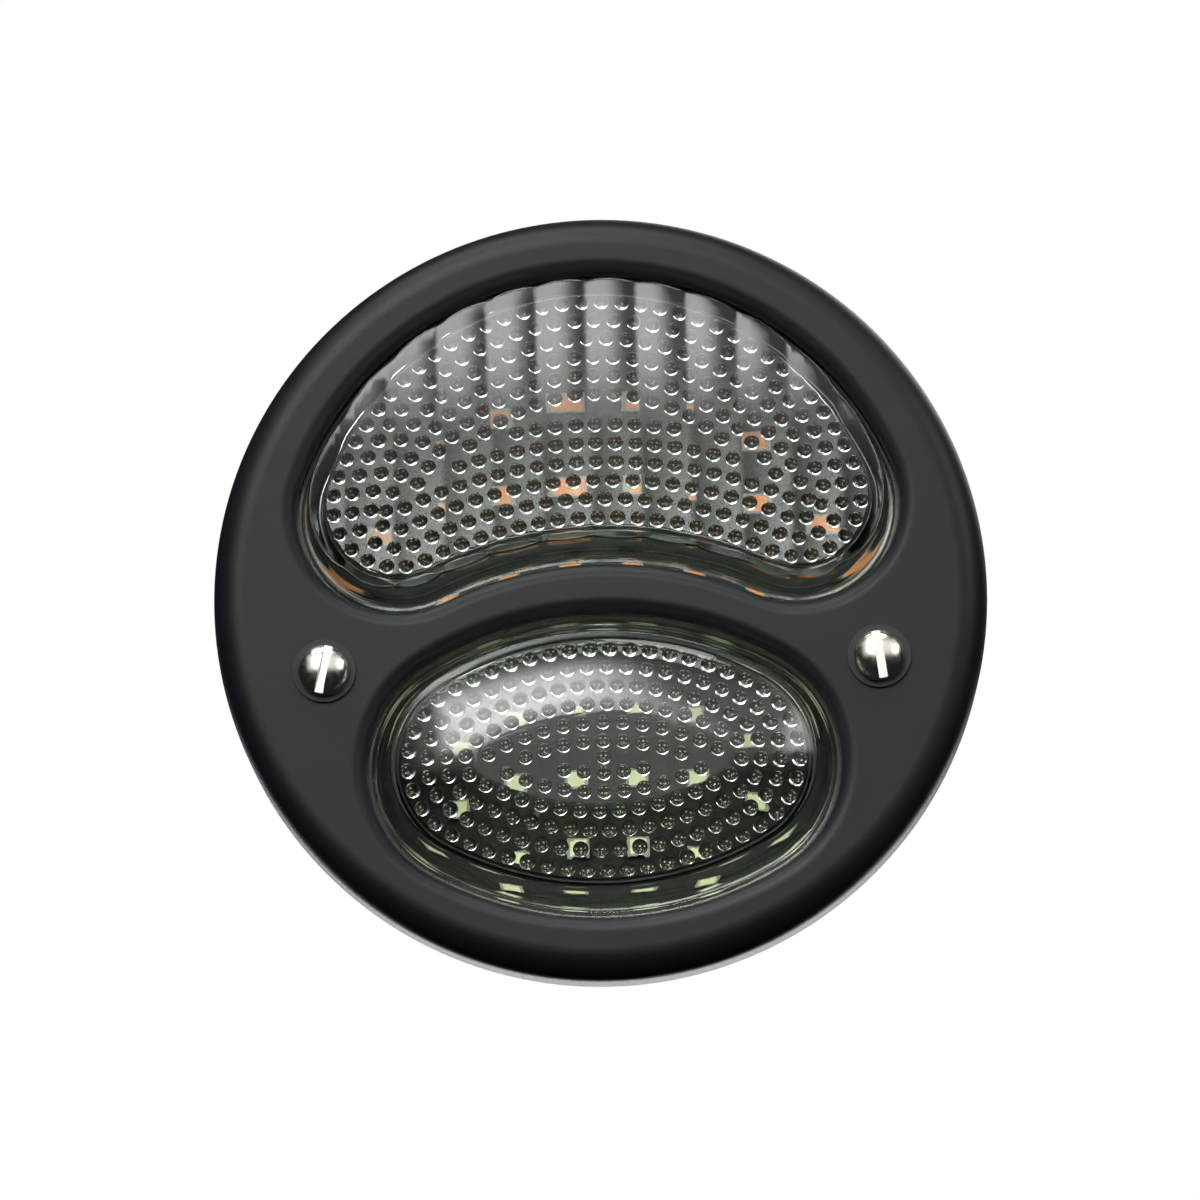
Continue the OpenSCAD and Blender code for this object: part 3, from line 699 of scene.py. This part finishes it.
def make_upper_lens():
    """Kidney-shaped cup of pressed glass: fluted front, beaded inner face."""
    top_h = -UPPER_LOW.y
    wall_h = top_h - FLANGE_TOP_H
    obj = start_edit()
    flange_and_wall(KIDNEY, wall_h, UPPER_DRAFT)
    strip = FLUTE_PITCH / FLUTE_STRIPS
    count = int(UPPER_HALF_W / strip)
    cut_front(obj, top_h, [((FLUTE_SHIFT + i * strip, 0), (1, 0)) for i in range(-count, count + 1)])
    cut_front(obj, top_h, [((0, z), (0, 1)) for z in range(-2, 50, 2)])
    sink_front(obj, FLANGE_TOP_H + ROOT_R, top_h, upper_drop)
    scallop_edge(obj, top_h - SCALLOP_REACH, EDGE_SCALLOP)
    close_back(obj)
    finish_edit(obj, "upper_lens_glass")
    front_h = top_h - LENS_FRONT
    inset = LENS_GAP + LENS_WALL
    hollow = cavity(KIDNEY, [(-inset + 0.6, FLANGE_BACK_H - 0.5), (-inset - 0.2, FLANGE_BACK_H + 1),
                             (-inset - 0.7, front_h - 1.2), (-inset - 0.9, front_h - 0.5),
                             (-inset - 1.4, front_h)], "upper_hollow")
    beads = bead_cluster(KIDNEY, inset + 2.3, lambda inset: front_h, "upper_beads")
    return carve(obj, hollow, beads, "upper_lens")


def dome_rise(inset):
    """How high the oval dome stands above its edge at this inset from the edge."""
    share = min(max(inset / DOME_REACH, 0), 1)
    return DOME * (1 - (1 - share) ** 2)


def make_lower_lens():
    """Oval cup of pressed glass: smooth dome of even thickness, beaded inside."""
    edge_h = -LOWER_LOW.y - DOME
    obj = start_edit()
    flange_and_wall(OVAL, edge_h - FLANGE_TOP_H, LOWER_DRAFT)
    step = DOME_REACH / DOME_STEPS
    for i in range(DOME_STEPS):
        step_in(step, dome_rise((i + 1) * step) - dome_rise(i * step))
    close_back(obj)
    finish_edit(obj, "lower_lens_glass")
    front_h = edge_h - DOME_GLASS
    inset = LENS_GAP + LENS_WALL
    edge = inset + 2.2
    profile = [(-inset + 0.6, FLANGE_BACK_H - 0.5), (-inset - 0.2, FLANGE_BACK_H + 1),
               (-inset - 1.4, front_h - 0.9), (-edge, front_h)]
    profile += [(-edge - i * step, front_h + dome_rise(i * step)) for i in range(1, DOME_STEPS - 1)]
    hollow = cavity(OVAL, profile, "lower_hollow")
    beads = bead_cluster(OVAL, edge + 0.8, lambda inset: front_h + dome_rise(inset - edge), "lower_beads")
    return carve(obj, hollow, beads, "lower_lens")


def cut_front(obj, height, cuts):
    """In edit mode: cuts the flat front face by planes, each given by a point and a direction in x and z."""
    for (x, z), (nx, nz) in cuts:
        select_faces(obj, lambda face: all(v.co.y < -(height - 0.01) * MM for v in face.verts))
        bpy.ops.mesh.bisect(plane_co=place(x, z, 0), plane_no=(nx, 0, nz))


def sink_front(obj, low, high, drop):
    """In edit mode: lets the front fall back by drop(x, z), and the wall below it in proportion."""
    mesh = bmesh.from_edit_mesh(obj.data)
    for vert in mesh.verts:
        share = (-vert.co.y / MM - low) / (high - low)
        if share > 0:
            vert.co.y += share * drop(vert.co.x / MM, vert.co.z / MM) * MM
    bmesh.update_edit_mesh(obj.data)


def scallop_edge(obj, height, depth):
    """In edit mode: draws the rounded edge above this height inwards at each cusp."""
    mesh = bmesh.from_edit_mesh(obj.data)
    mesh.normal_update()
    moves = []
    for vert in mesh.verts:
        outward = Vector((vert.normal.x, 0, vert.normal.z))
        if -vert.co.y / MM > height and outward.length > 0.15:
            share = cusp_share(vert.co.x / MM)
            moves.append((vert, outward.normalized() * -depth * MM * share**2 * min(1, 2 * outward.length)))
    for vert, move in moves:
        vert.co += move
    bmesh.update_edit_mesh(obj.data)


def carve(glass, hollow, beads, node):
    """Cuts the hollow out of the glass, with the beads left standing on its inner face."""
    modify(hollow, "BOOLEAN", operation="DIFFERENCE", object=beads, solver="MANIFOLD")
    modify(glass, "BOOLEAN", operation="DIFFERENCE", object=hollow, solver="MANIFOLD")
    for tool in (hollow, beads):
        bpy.data.objects.remove(tool)
    only(glass)
    bpy.ops.object.shade_smooth_by_angle(angle=math.radians(30))
    return dress(glass, MATERIALS["clear_glass"], "door", "clear_glass", node)


# ---------------------------------------------------------------- screws


def make_screw(node, body, lean):
    """Domed slotted screw with a cut thread."""
    low, high = box_mm(node)
    x, z = (low.x + high.x) / 2, (low.z + high.z) / 2
    head_h, end_h = -low.y, -high.y
    head_r = (high.x - low.x) / 2
    seat_h = head_h - SCREW_HEAD_H
    rim_h = seat_h + SCREW_RIM_H
    dome = [(head_r * math.cos(a), rim_h + (head_h - rim_h) * math.sin(a))
            for a in (math.radians(i) for i in range(0, 90, 7))]
    obj = start_edit()
    lathe([(0, end_h)] + thread(SCREW_SHANK_R, end_h, seat_h - 1, THREAD_PITCH, THREAD_DEPTH)
          + [(SCREW_SHANK_R, seat_h), (head_r - SCREW_BEVEL, seat_h), (head_r, seat_h + SCREW_BEVEL)]
          + dome + [(0, head_h)], x, z)
    finish_edit(obj, body + "_slotted", 40)
    cutter = slot_cutter(x, z, head_h, head_r, lean)
    modify(obj, "BOOLEAN", operation="DIFFERENCE", object=cutter, solver="MANIFOLD")
    bpy.data.objects.remove(cutter)
    only(obj)
    bpy.ops.object.shade_smooth_by_angle(angle=math.radians(40))
    return dress(obj, MATERIALS["nickel_plate"], body, "nickel_plate", node)


def slot_cutter(x, z, head_h, head_r, lean):
    """Bar that cuts the driver slot, turned by lean degrees to the right of upright."""
    bpy.ops.object.select_all(action="DESELECT")
    bpy.ops.mesh.primitive_cube_add(size=1, location=place(x, z, head_h))
    cutter = bpy.context.object
    cutter.scale = (SLOT_W * MM, 2 * SLOT_DEPTH * MM, 2.4 * head_r * MM)
    cutter.rotation_euler = (0, math.radians(lean), 0)
    bpy.ops.object.transform_apply(location=True, rotation=True, scale=True)
    return cutter


# ---------------------------------------------------------------- the lamp


def dress_cad():
    """Gives every CAD node the material of its slot."""
    for entry in frame["record"]["subparts"]:
        data = frame["nodes"][entry["node"]].data
        data.materials.clear()
        data.materials.append(MATERIALS[entry["material_slot"]])


dress_cad()
make_bezel()
make_upper_lens()
make_lower_lens()
make_screw("left_bezel_screw", "left_screw", 13)
make_screw("right_bezel_screw", "right_screw", -8)


# ---------------------------------------------------------------- studio


FLOOR_SIZE = 8
FLOOR_Z = -0.8


def stage_floor():
    """Pale floor well below the lamp."""
    bpy.ops.object.select_all(action="DESELECT")
    bpy.ops.mesh.primitive_plane_add(size=FLOOR_SIZE, location=(0, 0, FLOOR_Z))
    floor = bpy.context.object
    floor.name = "floor"
    finish = Finish("pale_floor", roughness=0.7)
    finish.link(finish.mix(finish.noise(60), (0.82, 0.82, 0.82), (0.86, 0.86, 0.86)), "Base Color")
    floor.data.materials.append(finish.material)
    floor.visible_diffuse = floor.visible_glossy = floor.visible_transmission = False


def softbox(name, place_at, look_at, width, height, power):
    """A rectangular area light that faces a point."""
    light = bpy.data.lights.new(name, "AREA")
    light.shape = "RECTANGLE"
    light.size, light.size_y = width, height
    light.energy = power
    lamp = bpy.data.objects.new(name, light)
    lamp.location = place_at
    lamp.rotation_euler = (Vector(look_at) - Vector(place_at)).to_track_quat("-Z", "Y").to_euler()
    bpy.context.scene.collection.objects.link(lamp)


# Each glow: -1 in front of the lamp or 1 behind it, its middle and half its size in the direction's x and z,
# the width that fades, and its strength
ROOM_LEVEL = 0.015
GLOWS = [
    (-1, (-0.21, 0.47), (0.33, 0.33), 0.20, 8.0),
    (-1, (0.74, 0.34), (0.17, 0.22), 0.10, 3.5),
    (-1, (0.05, 0.42), (0.90, 0.46), 0.28, 0.9),
    (1, (0.0, -0.22), (0.7, 0.20), 0.10, 4.2),
    (1, (0.35, 0.50), (0.40, 0.30), 0.17, 3.0),
]


def world_light():
    """Dim room with soft rectangular glows, placed by the direction to them."""
    world = bpy.data.worlds.new("studio")
    bpy.context.scene.world = world
    world.use_nodes = True
    nodes, links = world.node_tree.nodes, world.node_tree.links

    def step(kind, *values, **settings):
        node = nodes.new(kind)
        for key, value in settings.items():
            setattr(node, key, value)
        for socket, value in zip(node.inputs, values):
            if isinstance(value, bpy.types.NodeSocket):
                links.new(value, socket)
            else:
                socket.default_value = value
        return node.outputs[0]

    def math_step(operation, *values):
        return step("ShaderNodeMath", *values, operation=operation)

    direction = nodes.new("ShaderNodeSeparateXYZ")
    links.new(nodes.new("ShaderNodeTexCoord").outputs["Generated"], direction.inputs[0])
    total = ROOM_LEVEL
    for side, (x, z), (half_x, half_z), fade, strength in GLOWS:
        share = step("ShaderNodeMapRange", direction.outputs["Y"], 0.0, 0.2 * side, 0.0, strength)
        for axis, middle, half in (("X", x, half_x), ("Z", z, half_z)):
            away = math_step("ABSOLUTE", math_step("SUBTRACT", direction.outputs[axis], middle))
            edge = step("ShaderNodeMapRange", away, half, half - fade, 0.0, 1.0,
                        interpolation_type="SMOOTHSTEP")
            share = math_step("MULTIPLY", edge, share)
        total = math_step("ADD", share, total)
    rays = nodes.new("ShaderNodeLightPath")
    level = nodes.new("ShaderNodeMix")
    links.new(rays.outputs["Is Camera Ray"], level.inputs[0])
    links.new(total, level.inputs[2])
    level.inputs[3].default_value = 1.0
    links.new(level.outputs[0], nodes["Background"].inputs["Strength"])
    nodes["Background"].inputs["Color"].default_value = (1, 1, 1, 1)


# Camera: degrees round and above the lamp's axis, degrees of roll, metres away and metres across the view
CAMERA_AZIMUTH = 0.7
CAMERA_ELEVATION = -10
CAMERA_ROLL = -1.45
CAMERA_DISTANCE = 1.0
VIEW_WIDTH = 0.18228
SENSOR_WIDTH = 36


def camera():
    """Long lens, ten degrees below the lamp's axis."""
    target = Vector((0, -FACE_H * MM, -0.0012))
    azimuth, elevation = math.radians(CAMERA_AZIMUTH), math.radians(CAMERA_ELEVATION)
    back = Vector((math.sin(azimuth) * math.cos(elevation), -math.cos(azimuth) * math.cos(elevation),
                   math.sin(elevation)))
    data = bpy.data.cameras.new("camera")
    data.sensor_width = SENSOR_WIDTH
    data.lens = SENSOR_WIDTH * CAMERA_DISTANCE / VIEW_WIDTH
    obj = bpy.data.objects.new("camera", data)
    obj.location = target + back * CAMERA_DISTANCE
    aim = (-back).to_track_quat("-Z", "Y")
    obj.rotation_mode = "QUATERNION"
    obj.rotation_quaternion = aim @ Quaternion((0, 0, 1), math.radians(CAMERA_ROLL))
    bpy.context.scene.collection.objects.link(obj)
    bpy.context.scene.camera = obj


stage_floor()
world_light()
camera()
softbox("overhead", (-0.1, -0.35, 0.9), (0, -0.05, 0), 0.9, 0.35, 5)
bpy.context.scene.view_settings.view_transform = "Standard"
